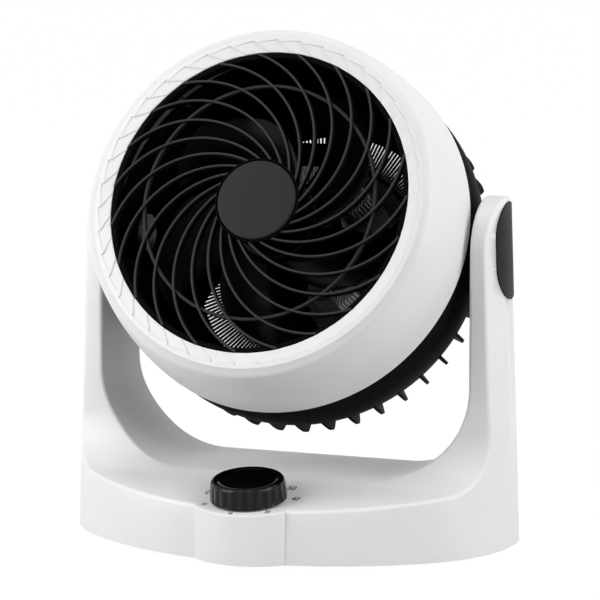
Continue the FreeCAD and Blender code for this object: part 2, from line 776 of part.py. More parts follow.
# Front shell: bowl wall, rounded edge, bezel face and the lip that holds the grille
lip_back = "(lip_front - lip_depth)"
bowl_outline = [
    ("bowl_radius", "seam_forward"), ("bowl_front_radius", "bowl_front"), ("bezel_radius", "bezel_front"),
    ("lip_radius", "lip_front"), ("lip_radius", lip_back), ("bezel_radius", "bezel_front - lip_depth"),
    ("bowl_front_radius - shell_wall", "bowl_front"), ("bowl_radius - shell_wall", "seam_forward"),
]
bowl_arcs = {0: "-bowl_bulge_radius", 1: "-bezel_round", 6: "(bowl_bulge_radius - shell_wall)"}
front_shell = turned("front_half", (bowl_outline, bowl_arcs))
boss_low = "(seam_forward + spigot_height + fit_clearance)"
boss_sketch = new_sketch(front_shell, "XY_Plane", boss_low)
half_turn = "180 / shell_screw_count"
screw_x = f"shell_screw_circle * cos({half_turn})"
screw_y = f"shell_screw_circle * sin({half_turn})"
add_circle(boss_sketch, screw_x, screw_y, "shell_post_radius")
front_boss = pad(front_shell, boss_sketch, f"shell_boss_end - {boss_low}")
repeat_around(front_shell, front_boss, "shell_screw_count")
hole_sketch = new_sketch(front_shell, "XY_Plane", "shell_screw_length + face_clearance")
add_circle(hole_sketch, screw_x, screw_y, "shell_screw_radius + running_clearance")
front_hole = pad(front_shell, hole_sketch, "shell_screw_length", kind="PartDesign::Pocket")
repeat_around(front_shell, front_hole, "shell_screw_count")
keep(in_head(front_shell), "front_shell")

# Front grille: rim behind the lip, support ring, cup for the disc, and the spiral ribs
rim_outer = "(lip_radius - fit_clearance)"
rim_inner = f"({rim_outer} - rim_width)"
flange_front = f"({lip_back} - fit_clearance)"
flange_back = f"({flange_front} - rim_flange_thickness)"
rim_outline = [
    (rim_inner, flange_back), ("rim_flange_radius", flange_back), ("rim_flange_radius", flange_front),
    (rim_outer, flange_front), (rim_outer, "rim_front"), (rim_inner, "rim_front"),
]
rib_back = "(rib_front - rib_depth)"
cup_floor = f"({rib_back} + collar_floor)"
cup_outline = [
    ("0", rib_back), ("collar_radius", rib_back), ("collar_radius", "collar_front"),
    ("collar_inner", "collar_front"), ("collar_inner", cup_floor), ("0", cup_floor),
]
ring_outline = rectangle("support_ring_radius", "support_ring_radius + support_ring_width",
                         rib_back, f"{rib_back} + support_ring_depth")
grille = turned("grille", (rim_outline, None), (cup_outline, None), (ring_outline, None))
rib_sketch = new_sketch(grille, "XY_Plane", rib_back)
outside = "(rib_radius + rib_width / 2)"
inside = "(rib_radius - rib_width / 2)"
rib_points = [(f"{radius} * cos({angle}) - rib_offset", f"{radius} * sin({angle})")
              for radius, angle in ((outside, "rib_start_angle"), (outside, "rib_end_angle"),
                                    (inside, "rib_end_angle"), (inside, "rib_start_angle"))]
add_loop(rib_sketch, rib_points, {0: "-" + outside, 2: inside})
rib = pad(grille, rib_sketch, "rib_depth")
repeat_around(grille, rib, "rib_count")
keep(in_head(grille), "front_grille")
keep(in_head(disc("badge", "disc_radius", cup_floor, "collar_front + disc_proud")), "hub_disc")

# Rear shell: spigot inside the bowl, straight band, round back, fins on the bend, bosses for the pins
bend_run = "(rear_end - rear_straight_end)"
bend_radius = f"((bend_drop^2 + {bend_run}^2) / (2 * bend_drop))"
spigot_radius = "(bowl_radius - shell_wall - spigot_clearance)"
spigot_inner = f"({spigot_radius} - spigot_thickness)"
seam_back = "(seam_forward - fit_clearance)"
band_inner = "(rear_radius - rear_wall)"
bend_centre = f"(rear_radius - {bend_radius})"
inner_bend = f"({bend_radius} - rear_wall)"
opening_inner = f"({bend_centre} + sqrt({inner_bend}^2 - {bend_run}^2))"
rear_outline = [
    ("rear_radius", seam_back), ("rear_radius", "-rear_straight_end"), ("rear_opening_radius", "-rear_end"),
    (opening_inner, "-rear_end"), (band_inner, "-rear_straight_end"),
    (band_inner, f"{seam_back} - spigot_height"), (spigot_inner, f"{seam_back} - spigot_height + spigot_ramp"),
    (spigot_inner, f"{seam_back} + spigot_height"),
    (spigot_radius, f"{seam_back} + spigot_height"), (spigot_radius, seam_back),
]
rear_half = turned("rear_half", (rear_outline, {1: bend_radius, 3: "-" + inner_bend}))
post_sketch = new_sketch(rear_half, "XY_Plane")
add_circle(post_sketch, screw_x, screw_y, "shell_post_radius")
add_circle(post_sketch, screw_x, screw_y, "shell_screw_radius + fit_clearance")
rear_post = pad(rear_half, post_sketch, "seam_forward + spigot_height - fit_clearance")
repeat_around(rear_half, rear_post, "shell_screw_count")
fin_sketch = new_sketch(rear_half, "XZ_Plane")
bend_at = "({0} + sqrt({1}^2 - (({2}) - rear_straight_end)^2))"
fin_tip = bend_at.format(bend_centre, bend_radius, "fin_peak") + " + fin_rise"
fin_base, fin_middle, fin_foot = (bend_at.format(bend_centre, f"({bend_radius} - rear_wall / 2)", depth)
                                  for depth in ("fin_start", "fin_peak", "fin_end"))
add_loop(fin_sketch, [(fin_base, "-fin_start"), (fin_tip, "-fin_peak"), (fin_foot, "-fin_end"),
                      (fin_middle, "-fin_peak")])
fin = pad(rear_half, fin_sketch, "fin_thickness", symmetric=True)
repeat_around(rear_half, fin, "fin_count")
boss_reach = new_sketch(rear_half, "YZ_Plane", boss_start)
add_circle(boss_reach, "0", "0", "trunnion_boss_radius")
pin_boss = pad(rear_half, boss_reach, "trunnion_boss_depth")
repeat_around(rear_half, pin_boss, "2")
boss_hole = new_sketch(rear_half, "YZ_Plane", boss_face)
add_circle(boss_hole, "0", "0", "trunnion_radius + running_clearance")
pin_hole = pad(rear_half, boss_hole, "trunnion_boss_depth", kind="PartDesign::Pocket")
repeat_around(rear_half, pin_hole, "2")
keep(in_head(rear_half), "rear_shell")

# Screws that join the halves: heads behind the rear posts, shanks into the front bosses
join_screws = new_body("join_screws")
head_sketch = new_sketch(join_screws, "XY_Plane", "-shell_screw_head_height")
add_circle(head_sketch, screw_x, screw_y, "shell_screw_head_radius")
screw_head = pad(join_screws, head_sketch, "shell_screw_head_height")
repeat_around(join_screws, screw_head, "shell_screw_count")
shank_sketch = new_sketch(join_screws, "XY_Plane")
add_circle(shank_sketch, screw_x, screw_y, "shell_screw_radius")
screw_shank = pad(join_screws, shank_sketch, "shell_screw_length")
repeat_around(join_screws, screw_shank, "shell_screw_count")
keep(in_head(join_screws), "shell_screws")

# Rear guard: rim in the opening, hub plate, fine radial bars and the rings that tie them
guard_rim = f"({opening_inner} - fit_clearance)"
guard_front = "(guard_thickness - rear_end)"
ring_room = f"({guard_rim} - guard_rim_width - guard_hub_radius)"
ring_pitch = f"({ring_room} / (guard_ring_count + 1))"
guard_outlines = [(rectangle("0", "guard_hub_radius", "-rear_end", guard_front), None),
                  (rectangle(f"{guard_rim} - guard_rim_width", guard_rim, "-rear_end", guard_front), None)]
for i in range(1, int(value("guard_ring_count")) + 1):
    middle = f"(guard_hub_radius + {i} * {ring_pitch})"
    guard_outlines.append((rectangle(f"{middle} - guard_ring_width / 2", f"{middle} + guard_ring_width / 2",
                                     "-rear_end", guard_front), None))
guard = turned("guard", *guard_outlines)
bar_sketch = new_sketch(guard, "XY_Plane", "-rear_end")
add_loop(bar_sketch, rectangle("guard_hub_radius - guard_bar_width", f"{guard_rim} - guard_rim_width / 2",
                               "-guard_bar_width / 2", "guard_bar_width / 2"))
bar = pad(guard, bar_sketch, "guard_thickness")
repeat_around(guard, bar, "guard_bar_count")
keep(in_head(guard), "rear_grille")

# Motor mount: hub plate with arms that reach the rear shell
mount_back = "(mount_front + mount_thickness)"
mount_reach = f"({bend_at.format(bend_centre, inner_bend, mount_back)} - face_clearance)"
mount = disc("spider", "mount_hub_radius", f"-{mount_back}", "-mount_front")
arm_sketch = new_sketch(mount, "XY_Plane", f"-{mount_back}")
add_loop(arm_sketch, rectangle("mount_hub_radius - mount_arm_width", f"{mount_reach}",
                               "-mount_arm_width / 2", "mount_arm_width / 2"))
mount_arm = pad(mount, arm_sketch, "mount_thickness")
repeat_around(mount, mount_arm, "mount_arm_count")
keep(in_head(mount), "motor_mount")

# Motor: can, bearings in its end faces, stator, and the turning core on its shaft
can_front = "(can_length - mount_front)"
can_inner = "(can_radius - can_wall)"
can_outline = [
    ("bearing_radius", "-mount_front"), ("can_radius", "-mount_front"), ("can_radius", can_front),
    ("bearing_radius", can_front), ("bearing_radius", f"{can_front} - can_wall"),
    (can_inner, f"{can_front} - can_wall"), (can_inner, "can_wall - mount_front"),
    ("bearing_radius", "can_wall - mount_front"),
]
keep(in_head(turned("can", (can_outline, None))), "motor_can")
bearing_bore = "shaft_radius + running_clearance"
rear_bearing = rectangle(bearing_bore, "bearing_radius", "-mount_front", "bearing_length - mount_front")
front_bearing = rectangle(bearing_bore, "bearing_radius", f"{can_front} - bearing_length", can_front)
keep(in_head(turned("bearings", (rear_bearing, None), (front_bearing, None))), "motor_bearings")
core_low = f"(({can_front} - mount_front - core_length) / 2)"
core_high = f"({core_low} + core_length)"
keep(in_head(disc("stator_ring", can_inner, core_low, core_high, "rotor_radius + stator_gap")), "stator")
keep(in_head(disc("core", "rotor_radius", core_low, core_high, "shaft_radius")), "rotor")
keep(in_head(disc("shaft", "shaft_radius", "face_clearance - mount_front", "shaft_front")), "motor_shaft")

# Fan: cup-shaped hub with a sleeve on the shaft and twisted, hollow-faced blades, held by a nut
hub_front = "(fan_hub_rear + fan_hub_length)"
hub_floor = f"({hub_front} - fan_hub_wall)"
hub_outline = [
    ("shaft_radius", "fan_hub_rear"), ("fan_sleeve_radius", "fan_hub_rear"), ("fan_sleeve_radius", hub_floor),
    ("fan_hub_radius - fan_hub_wall", hub_floor), ("fan_hub_radius - fan_hub_wall", "fan_hub_rear"),
    ("fan_hub_radius", "fan_hub_rear"), ("fan_hub_radius", hub_front), ("shaft_radius", hub_front),
]
impeller = turned("fan_wheel", (hub_outline, None))
fan_middle = "(fan_hub_rear + fan_hub_length / 2)"


def blade_section(radius, chord, pitch):
    """Bent strip across the blade at a distance from the axis, leaning by the pitch."""
    sketch = new_sketch(impeller, "YZ_Plane", radius)
    points = []
    for along, across in ((-1, 1), (1, 1), (1, -1), (-1, -1)):
        side = f"{along} * {chord} / 2"
        thick = f"{across} * blade_thickness / 2"
        points.append((f"{side} * cos({pitch}) + {thick} * sin({pitch})",
                       f"{fan_middle} - {side} * sin({pitch}) + {thick} * cos({pitch})"))
    bend = f"({chord} / 2 / sin(blade_camber))"
    add_loop(sketch, points, {0: bend, 2: "-" + bend})
    return sketch


blade = impeller.newObject("PartDesign::AdditiveLoft", "blade")
blade.Profile = blade_section("fan_hub_radius - fan_hub_wall", "blade_root_chord", "blade_root_pitch")
tip_distance = "sqrt(blade_tip_radius^2 - blade_tip_chord^2 / 4)"
blade.Sections = [blade_section(tip_distance, "blade_tip_chord", "blade_tip_pitch")]
doc.recompute()
repeat_around(impeller, blade, "blade_count")
keep(in_head(impeller), "impeller")
nut_front = f"{hub_front} + fan_nut_thickness"
keep(in_head(disc("nut_on_shaft", "fan_nut_radius", hub_front, nut_front, "shaft_radius")), "fan_nut")

# Heating unit: carrier plate on the mount's arms, heating blocks in a ring round the motor, thermal cut-out
carrier_front = "(carrier_thickness - mount_front)"
keep(in_head(disc("carrier", "carrier_radius", "-mount_front", carrier_front, "can_radius + face_clearance")),
     "heater_carrier")
heaters = new_body("heaters")
heater_sketch = new_sketch(heaters, "XY_Plane", carrier_front)
add_loop(heater_sketch, rectangle("heater_inner", "heater_outer", "-heater_width / 2", "heater_width / 2"))
heater = pad(heaters, heater_sketch, "heater_length")
repeat_around(heaters, heater, "heater_count")
keep(in_head(heaters), "ptc_heaters")
cutout = new_body("cutout")
cutout_sketch = new_sketch(cutout, "XY_Plane", carrier_front)
between = "180 / heater_count"
middle_radius = "(heater_inner + heater_outer) / 2"
cutout_x = f"{middle_radius} * cos({between})"
cutout_y = f"{middle_radius} * sin({between})"
add_circle(cutout_sketch, cutout_x, cutout_y, "cutout_radius")
pad(cutout, cutout_sketch, "cutout_height")
keep(in_head(cutout), "thermal_cutout")

doc.recompute()
failed = [item.Name for item in doc.Objects if "Invalid" in item.State or "Error" in item.State]
failed += [piece.Label for piece in pieces if piece.Shape.isNull() or not piece.Shape.isValid()]
if failed:
    raise RuntimeError("these did not build: " + ", ".join(failed))

os.makedirs("parts", exist_ok=True)
for piece in pieces:
    piece.Shape.exportStep(f"parts/{piece.Label}.step")
    box = piece.Shape.optimalBoundingBox(False)
    spans = [round(edge, 1) for edge in (box.XMin, box.XMax, box.YMin, box.YMax, box.ZMin, box.ZMax)]
    print(piece.Label, len(piece.Shape.Solids), round(piece.Shape.Volume), spans)
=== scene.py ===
import json
import math
import bmesh
import bpy
import numpy as np
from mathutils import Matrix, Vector


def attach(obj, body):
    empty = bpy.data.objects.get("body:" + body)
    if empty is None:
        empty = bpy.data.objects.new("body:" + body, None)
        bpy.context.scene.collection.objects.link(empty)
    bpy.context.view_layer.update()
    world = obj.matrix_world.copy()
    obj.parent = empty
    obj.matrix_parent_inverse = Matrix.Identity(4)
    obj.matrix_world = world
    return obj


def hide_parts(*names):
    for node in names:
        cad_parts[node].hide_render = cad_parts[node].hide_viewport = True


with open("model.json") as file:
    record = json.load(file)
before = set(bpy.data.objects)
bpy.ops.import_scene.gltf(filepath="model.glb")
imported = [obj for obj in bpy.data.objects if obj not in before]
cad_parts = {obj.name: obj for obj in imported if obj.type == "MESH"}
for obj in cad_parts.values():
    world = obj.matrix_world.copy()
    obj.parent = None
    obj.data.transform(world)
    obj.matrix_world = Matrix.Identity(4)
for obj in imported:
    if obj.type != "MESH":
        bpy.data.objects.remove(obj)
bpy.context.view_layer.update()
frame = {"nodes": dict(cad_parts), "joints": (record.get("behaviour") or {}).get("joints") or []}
joints = {joint["name"]: joint for joint in frame["joints"]}
mm = 0.001
print("frame loaded with", len(frame["nodes"]), "nodes")


# One output of a shader node. Sums and products of values add Math nodes.
class Wire:
    def __init__(self, paint, socket):
        self.paint = paint
        self.socket = socket

    def math(self, operation, first, second):
        return self.paint.node("ShaderNodeMath", {"operation": operation}, {0: first, 1: second})

    def __add__(self, other):
        return self.math("ADD", self, other)

    def __sub__(self, other):
        return self.math("SUBTRACT", self, other)

    def __rsub__(self, other):
        return self.math("SUBTRACT", other, self)

    def __mul__(self, other):
        return self.math("MULTIPLY", self, other)


# One node material, with its nodes made by one method.
class Paint:
    def __init__(self, name):
        self.material = bpy.data.materials.new(name)
        self.material.use_nodes = True
        self.tree = self.material.node_tree
        self.shader = self.tree.nodes["Principled BSDF"]

    def node(self, kind, settings=None, inputs=None, output=0):
        made = self.tree.nodes.new(kind)
        for key, setting in (settings or {}).items():
            setattr(made, key, setting)
        for key, given in (inputs or {}).items():
            self.join(made.inputs[key], given)
        return Wire(self, made.outputs[output])

    def join(self, socket, given):
        if isinstance(given, Wire):
            self.tree.links.new(given.socket, socket)
        else:
            socket.default_value = given

    def place(self):
        return self.node("ShaderNodeTexCoord", output="Object")

    def noise(self, where, scale, detail=3.0):
        return self.node("ShaderNodeTexNoise", None, {"Vector": where, "Scale": scale, "Detail": detail})

    def span(self, value, start, end, low=0.0, high=1.0, shape="LINEAR"):
        settings = {"clamp": True, "interpolation_type": shape}
        return self.node("ShaderNodeMapRange", settings, {0: value, 1: start, 2: end, 3: low, 4: high})

    # Noise mostly lies between 0.3 and 0.7.
    def ramp(self, value, low, high):
        return self.span(value, 0.3, 0.7, low, high)

    def blend(self, factor, first, second):
        first, second = (colour if isinstance(colour, Wire) else (*colour, 1) for colour in (first, second))
        inputs = {"Factor": factor, 6: first, 7: second}
        return self.node("ShaderNodeMix", {"data_type": "RGBA"}, inputs, 2)

    def bump(self, height, strength, distance):
        inputs = {"Strength": strength, "Distance": distance, "Height": height}
        return self.node("ShaderNodeBump", None, inputs)

    def feed(self, **given):
        for key, value in given.items():
            self.join(self.shader.inputs[key.replace("_", " ")], value)
        return self.material


# Moulded plastic: a faint cloudiness in colour and gloss, a soft ripple and a fine grain.
# Where the mesh carries a line attribute, the colour goes over to the line's, which is painted shade.
def plasticFinish(name, colour, gloss, ripple=0.04, grain=0.03, grainScale=1800, shine=0.4, lineShadeColour=None):
    paint = Paint(name)
    where = paint.place()
    cloud = paint.noise(where, 22, 2)
    fine = paint.noise(where, grainScale, 2)
    darker = [channel * 0.955 for channel in colour]
    wave = paint.noise(where, 140, 1)
    height = wave * ripple + fine * grain
    tint = paint.blend(paint.ramp(cloud, 0.0, 1.0), darker, colour)
    if lineShadeColour:
        line = paint.node("ShaderNodeAttribute", {"attribute_name": "line"}, None, "Fac")
        tint = paint.blend(line, tint, lineShadeColour)
    return paint.feed(
        Base_Color=tint,
        Roughness=paint.ramp(cloud, gloss * 0.9, gloss * 1.1) + (fine - 0.5) * 0.05,
        Specular_IOR_Level=shine,
        Normal=paint.bump(height, 0.35, 0.0012))


# Moulded grille: front edges painted paler as a painted highlight and the sides painted black as painted shade, by
# height along a joint's axis. Low and high are metres along a joint's axis.
def depthShadedFinish(name, edge, depth, joint, low, high, gloss, shine):
    paint = Paint(name)
    where = paint.place()
    axis = tuple(joint["axis"])
    start = sum(a * b for a, b in zip(axis, joint["pos_m"]))
    along = paint.node("ShaderNodeVectorMath", {"operation": "DOT_PRODUCT"}, {0: where, 1: axis}, "Value")
    fine = paint.noise(where, 2200, 2)
    mottle = paint.noise(where, 90, 3)
    # Painted highlight towards the front, painted shade further back, with a noisy boundary.
    front = paint.span(along - start + (mottle - 0.5) * 0.0004, low, high, shape="SMOOTHSTEP")
    return paint.feed(
        Base_Color=paint.blend(front, depth, edge),
        Roughness=paint.ramp(mottle, gloss * 0.9, gloss * 1.1) + (fine - 0.5) * 0.05,
        Specular_IOR_Level=shine,
        Normal=paint.bump(fine, 0.35, 0.00006))


# Knob plastic: ridges between the flutes are painted paler, a painted sheen for the lamps' reflections on them.
# Only what lies outside the rim's radius has ridges.
def ridgeSheenFinish(name, ridgeSheen, flute, joint, count, rim, gloss, shine):
    paint = Paint(name)
    where = paint.place()
    x, y = (paint.node("ShaderNodeSeparateXYZ", None, {0: where}, key) - start
            for key, start in zip("XY", joint["pos_m"]))
    wave = x.math("COSINE", x.math("ARCTAN2", y, x) * count, 0.0)
    radius = x.math("SQRT", x * x + y * y, 0.0)
    outside = paint.span(radius, rim, rim + 0.0005)
    mottle = paint.ramp(paint.noise(where, 160, 2), 0.5, 1.0)
    fine = paint.noise(where, 1800, 2)
    return paint.feed(
        # Painted sheen on the ridges, made patchy by the noise.
        Base_Color=paint.blend((0.5 - wave * 0.5) * outside * mottle, flute, ridgeSheen),
        Roughness=paint.ramp(mottle, gloss * 0.9, gloss * 1.1),
        Specular_IOR_Level=shine,
        Normal=paint.bump(fine, 0.2, 0.00004))


# Metal with a drawn or ground grain along one direction.
def metalFinish(name, colour, gloss, stretch=(40, 900, 900)):
    paint = Paint(name)
    where = paint.place()
    along = paint.node("ShaderNodeVectorMath", {"operation": "MULTIPLY"}, {0: where, 1: stretch})
    streak = paint.noise(along, 1.0, 4)
    stain = paint.noise(where, 60, 3)
    darker = [channel * 0.8 for channel in colour]
    return paint.feed(
        Base_Color=paint.blend(paint.ramp(stain, 0.0, 1.0), darker, colour),
        Metallic=1.0,
        Roughness=paint.ramp(streak, gloss * 0.75, gloss * 1.25),
        Normal=paint.bump(streak, 0.2, 0.0003))


# Rubber: dull, with a coarse grain and pale dust on it.
def rubberFinish(name, colour):
    paint = Paint(name)
    where = paint.place()
    grain = paint.noise(where, 2600, 3)
    dust = paint.noise(where, 90, 4)
    paler = [channel + 0.03 for channel in colour]
    return paint.feed(
        Base_Color=paint.blend(paint.ramp(dust, 0.0, 1.0), colour, paler),
        Roughness=paint.ramp(grain, 0.72, 0.92),
        Normal=paint.bump(grain, 0.5, 0.0006))


# Heating block: thin folded fins, with painted shade in close dark bands across the block for the gaps between
# them.
def finnedFinish(name, colour, pitch):
    paint = Paint(name)
    where = paint.place()
    inputs = {"Vector": where, "Scale": 2 * math.pi / pitch / 20, "Distortion": 0.0}
    wave = paint.node("ShaderNodeTexWave", {"bands_direction": "X"}, inputs)
    # Painted shade: the wave's dark bands darken the gaps between fins.
    darker = [channel * 0.3 for channel in colour]
    return paint.feed(
        Base_Color=paint.blend(wave, darker, colour),
        Metallic=0.9,
        Roughness=paint.ramp(paint.noise(where, 300), 0.3, 0.45),
        Normal=paint.bump(wave, 0.6, 0.0008))


# Grey of a given brightness, with blue a little stronger where a tint is given.
def grey(level, tint=0.0):
    return (level, level, level + tint)


finishes = {
    "whiteShell": plasticFinish("whiteShell", grey(0.80), 0.36, shine=0.35),
    # Bezel: dark painted shade at its grooves and a faint painted shade over its band.
    "bezelWhite": plasticFinish("bezelWhite", grey(0.79), 0.36, shine=0.35, lineShadeColour=grey(0.58)),
    "whiteUnder": plasticFinish("whiteUnder", grey(0.74), 0.5, grain=0.06),
    "rearBlack": plasticFinish("rearBlack", grey(0.004, 0.0002), 0.62, grain=0.06, grainScale=2200, shine=0.04),
    "capBlack": plasticFinish("capBlack", grey(0.006, 0.0002), 0.42, grain=0.06, grainScale=2200, shine=0.08),
    "grilleBlack": plasticFinish("grilleBlack", grey(0.012, 0.0003), 0.44, grain=0.05, grainScale=2200, shine=0.15),
    # Rim and cup: a darker black than the ring's, though one moulding, painted shade in the recesses behind the
    # bezel and the disc.
    "rimShadeBlack": plasticFinish("rimShadeBlack", grey(0.002, 0.0001), 0.6, grain=0.05, grainScale=2200, shine=0.02),
    # Ribs: painted highlight on their front edges, painted shade down their sides.
    "ribBlack": depthShadedFinish("ribBlack", grey(0.034, 0.0005), grey(0.002, 0.0001), joints["fan_spin"],
                             low=0.0747, high=0.0760, gloss=0.45, shine=0.08),
    "discBlack": plasticFinish("discBlack", grey(0.015, 0.0005), 0.55, 0.02, 0.08, 2600, shine=0.15),
    "fanBlack": plasticFinish("fanBlack", grey(0.002, 0.0001), 0.2, ripple=0.06, grain=0.01, shine=0.05),
    # Knob: painted sheen on the ridges between its flutes.
    "knobBlack": ridgeSheenFinish("knobBlack", grey(0.014), grey(0.001), joints["knob_turn"],
                              count=24, rim=0.0203, gloss=0.13, shine=0.2),
    "creamInner": plasticFinish("creamInner", (0.28, 0.26, 0.22), 0.55, grain=0.06),
    "printGrey": plasticFinish("printGrey", grey(0.05), 0.6, ripple=0.0, grain=0.02),
    "zincSteel": metalFinish("zincSteel", grey(0.56, 0.01), 0.34),
    "bearingBronze": metalFinish("bearingBronze", (0.50, 0.33, 0.16), 0.4),
    "finAluminium": finnedFinish("finAluminium", grey(0.70, 0.01), 0.0016),
    "footRubber": rubberFinish("footRubber", grey(0.03)),
}
nodeFinish = {
    "whiteShell": ["yoke_shell", "front_shell"],
    "whiteUnder": ["base_plate"],
    "rearBlack": ["rear_shell", "rear_grille", "motor_mount"],
    "capBlack": ["pivot_cap_left", "pivot_cap_right", "cord_gland"],
    "grilleBlack": ["front_grille"],
    "discBlack": ["hub_disc"],
    "fanBlack": ["impeller"],
    "knobBlack": ["selector_knob"],
    "creamInner": ["pivot_bush_left", "pivot_bush_right", "selector_switch", "terminal_block", "tip_over_switch",
                   "heater_carrier", "thermal_cutout"],
    "zincSteel": ["base_screws", "pivot_washers", "pivot_screws", "shell_screws", "motor_can", "stator", "rotor",
                  "motor_shaft", "switch_nut", "switch_spindle", "trunnion_left", "trunnion_right", "fan_nut"],
    "bearingBronze": ["motor_bearings"],
    "finAluminium": ["ptc_heaters"],
    "footRubber": ["rubber_feet"],
}
for finishName, names in nodeFinish.items():
    for name in names:
        node = frame["nodes"][name]
        node.data.materials.clear()
        node.data.materials.append(finishes[finishName])
print("finishes made:", len(finishes))


# Points in millimetres about a joint's axis, z along it, go into the shared frame in metres.
def aboutAxis(points, joint):
    axis = np.array(joint["axis"], float)
    side = np.array([1.0, 0.0, 0.0])
    rise = np.cross(axis, side)
    moved = points[..., :1] * side + points[..., 1:2] * rise + points[..., 2:] * axis
    return np.array(joint["pos_m"]) + mm * moved


# Quads of grids of points, copies x rows x columns; a closed direction joins its last line to its first.
def gridFaces(shape, closedRows, closedColumns):
    copies, rows, columns = shape
    i = np.arange(rows if closedRows else rows - 1)[:, None]
    j = np.arange(columns if closedColumns else columns - 1)[None, :]
    nextI, nextJ = (i + 1) % rows, (j + 1) % columns
    quads = np.stack([i * columns + j, nextI * columns + j, nextI * columns + nextJ, i * columns + nextJ], -1)
    offsets = rows * columns * np.arange(copies)
    return (offsets[:, None, None] + quads.reshape(1, -1, 4)).reshape(-1, 4)


# Signed volume of quads; negative where the faces point inwards.
def facesVolume(points, quads):
    a, b, c, d = (points[quads[:, k]] for k in range(4))
    return np.sum(np.einsum("ij,ij->i", a, np.cross(b, c)) + np.einsum("ij,ij->i", a, np.cross(c, d)))


# Several grids make one piece; each is (points, closedRows, closedColumns).
def gridPiece(name, grids, body, finish, nodes=(), sharp=35, shadeLines=None):
    corners, quads, start = [], [], 0
    for points, closedRows, closedColumns in grids:
        points = points if points.ndim == 4 else points[None]
        flat = points.reshape(-1, 3)
        faces = gridFaces(points.shape[:3], closedRows, closedColumns)
        if facesVolume(flat - flat.mean(0), faces) < 0:
            faces = faces[:, ::-1]
        corners.append(flat)
        quads.append(faces + start)
        start += len(flat)
    mesh = bpy.data.meshes.new(name)
    mesh.from_pydata(np.concatenate(corners).tolist(), [], np.concatenate(quads).tolist())
    if shadeLines is not None:
        mesh.attributes.new("line", "FLOAT", "POINT").data.foreach_set("value", shadeLines.ravel())
    return finishPiece(name, mesh, body, finish, nodes, sharp)


# Close seams and poles, shade smooth with sharp edges past an angle, and hang the piece on its body.
def finishPiece(name, mesh, body, finish, nodes=(), sharp=35):
    work = bmesh.new()
    work.from_mesh(mesh)
    bmesh.ops.remove_doubles(work, verts=work.verts, dist=2e-6)
    bmesh.ops.dissolve_degenerate(work, edges=work.edges, dist=1e-7)
    work.to_mesh(mesh)
    work.free()
    mesh.polygons.foreach_set("use_smooth", np.ones(len(mesh.polygons), bool))
    mesh.set_sharp_from_angle(angle=math.radians(sharp))
    mesh.materials.clear()
    mesh.materials.append(finishes[finish])
    piece = bpy.data.objects.new(name, mesh)
    bpy.context.scene.collection.objects.link(piece)
    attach(piece, body)
    if nodes:
        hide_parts(*nodes)
    return piece


# A copy of a solid's own triangles, joined up so that it can be shaded smooth.
def smoothCopy(name, node, body, finish, sharp=30, edge=0.0):
    piece = finishPiece(name, frame["nodes"][node].data.copy(), body, finish, (node,), sharp)
    if edge:
        bevel = piece.modifiers.new("edge", "BEVEL")
        bevel.width = edge * mm
        bevel.segments = 3
        bevel.limit_method = "ANGLE"
        bevel.angle_limit = math.radians(40)
        bevel.harden_normals = True
    return piece


# Line through corners (radius, height, rounding): each rounding is a short curve between its two sides.
def roundedLine(corners, steps=5, closed=False):
    line = []
    count = len(corners)
    for k, (radius, height, rounding) in enumerate(corners):
        here = np.array([radius, height])
        if not rounding or (not closed and k in (0, count - 1)):
            line.append(here[None])
            continue
        before, after = (np.array(corners[(k + step) % count][:2]) - here for step in (-1, 1))
        reach = min(rounding, 0.49 * np.linalg.norm(before), 0.49 * np.linalg.norm(after))
        first = here + before / np.linalg.norm(before) * reach
        last = here + after / np.linalg.norm(after) * reach
        t = np.linspace(0, 1, steps + 1)[:, None]
        line.append((1 - t) ** 2 * first + 2 * t * (1 - t) * here + t ** 2 * last)
    return np.concatenate(line)


# A line turned about the axis: x = r cos t, y = r sin t, z = height.
def turned(line, steps):
    t = np.linspace(0, 2 * np.pi, steps, endpoint=False)[:, None]
    radius, height = line[:, 0], line[:, 1]
    return np.stack([np.cos(t) * radius, np.sin(t) * radius, np.broadcast_to(height, (steps, len(line)))], -1)


# Copies of points turned about z by even steps.
def around(points, count, phase=0.0):
    t = phase + 2 * np.pi * np.arange(count) / count
    c, s = (f(t).reshape((count,) + (1,) * (points.ndim - 1)) for f in (np.cos, np.sin))
    x, y = points[..., 0], points[..., 1]
    return np.stack([c * x - s * y, s * x + c * y, np.broadcast_to(points[..., 2], (c * x).shape)], -1)


def smoothStep(low, high, x):
    t = np.clip((x - low) / (high - low), 0, 1)
    return t * t * (3 - 2 * t)


headAxis = joints["fan_spin"]
knobAxis = joints["knob_turn"]

# Front bowl: outer curve, rounded front edge, flat ring, then a band of slanting facets down to the grille.
bowl = dict(seam=(108.0, 21.5), seamEdge=0.45, front=(102.5, 69.0), swell=1.2, swellRise=0.11, innerSwell=1.1,
            wall=2.6, corner=(101.3, 74.4, 1.7), ring=(97.0, 77.0), ringFlat=0.5, ringDepth=4.5,
            border=94.8, borderEdge=(0.05, 0.02), bandInset=0.25, inner=87.9, bandFront=76.95, bandBack=75.75,
            lipRadius=87.7, lipDrop=0.25, lipBack=71.0, facets=42, slant=0.089, stepBack=1.3,
            facetLow=0.5, facetHigh=0.12, ringShade=0.5, frontShade=0.26)
